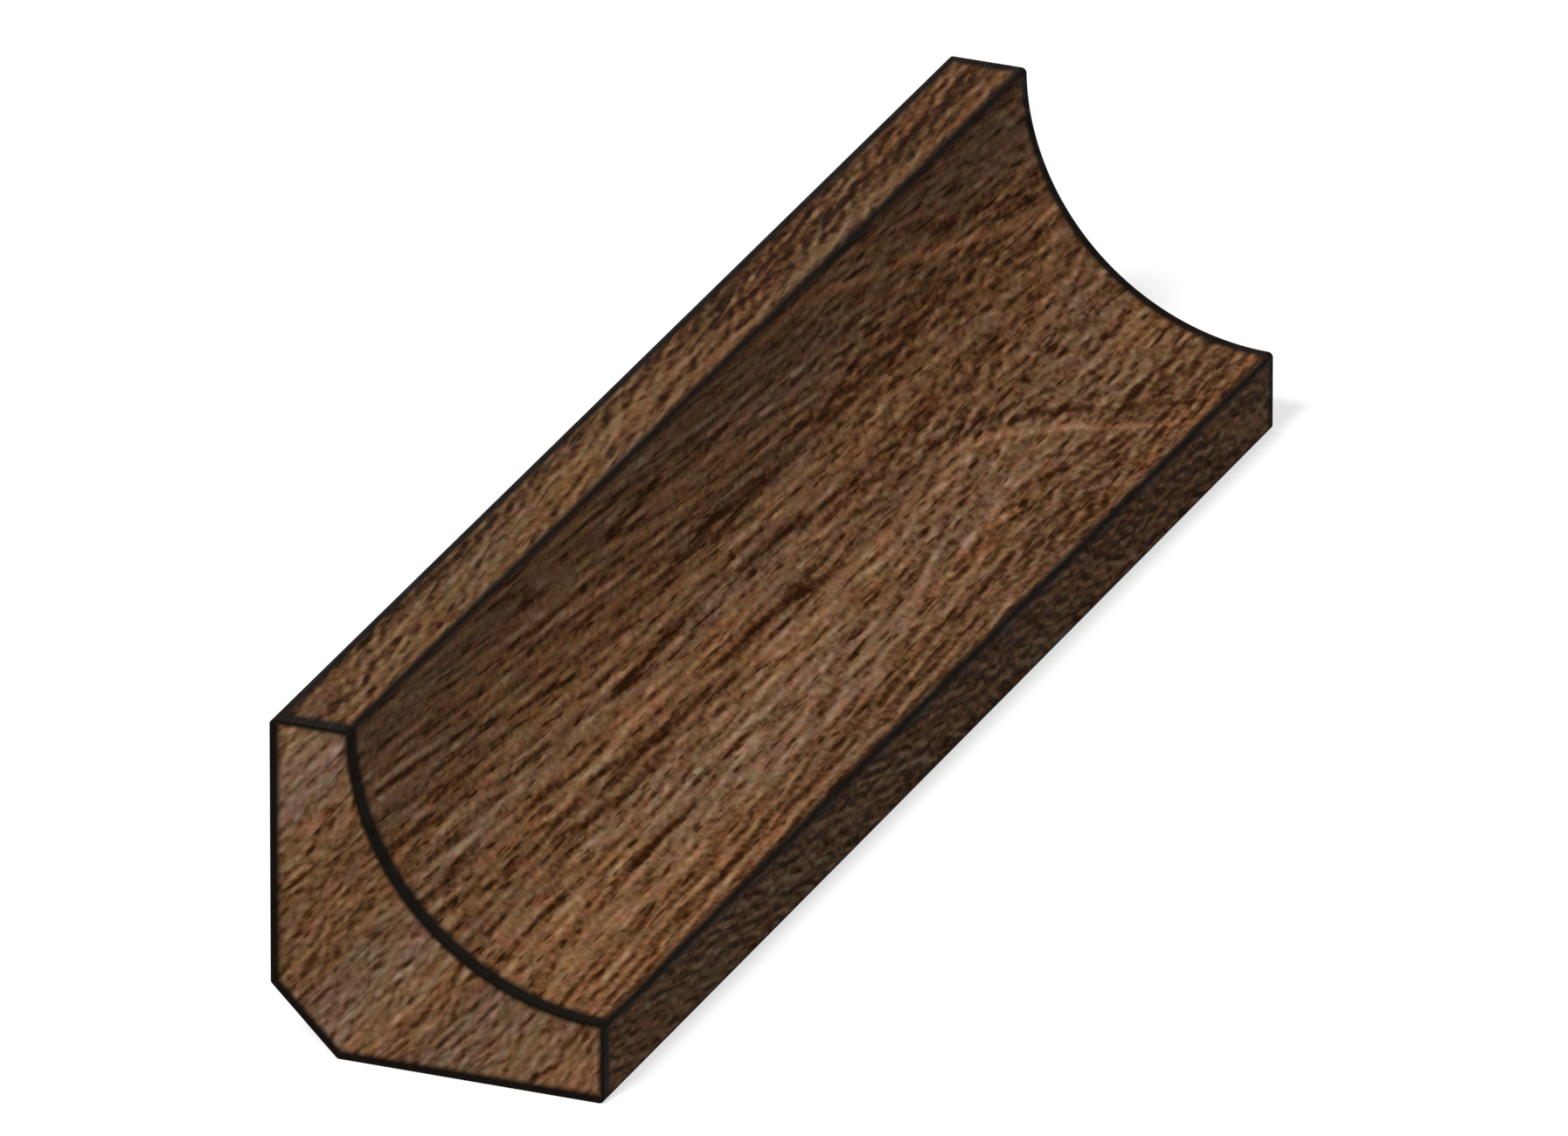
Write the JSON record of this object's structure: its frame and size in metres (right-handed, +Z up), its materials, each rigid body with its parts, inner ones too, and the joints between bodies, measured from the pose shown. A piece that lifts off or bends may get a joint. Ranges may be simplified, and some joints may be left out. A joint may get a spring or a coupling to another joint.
{
  "type": "scotia moulding",
  "caption": "Short cut length of solid walnut scotia trim: flat floor and wall faces at a right angle, a 45 degree back relief and a quarter-round hollow between two square lips.",
  "frame": {"origin": "middle of the piece's length and width, on the floor that its floor face stands on", "axes": "+X out from the wall, +Y along the grain and the length, +Z up from the floor"},
  "size_m": [0.02, 0.1, 0.02],
  "materials": {
    "walnut": "satin"
  },
  "bodies": {
    "root": {"scotia_moulding": "walnut"}
  },
  "joints": []
}
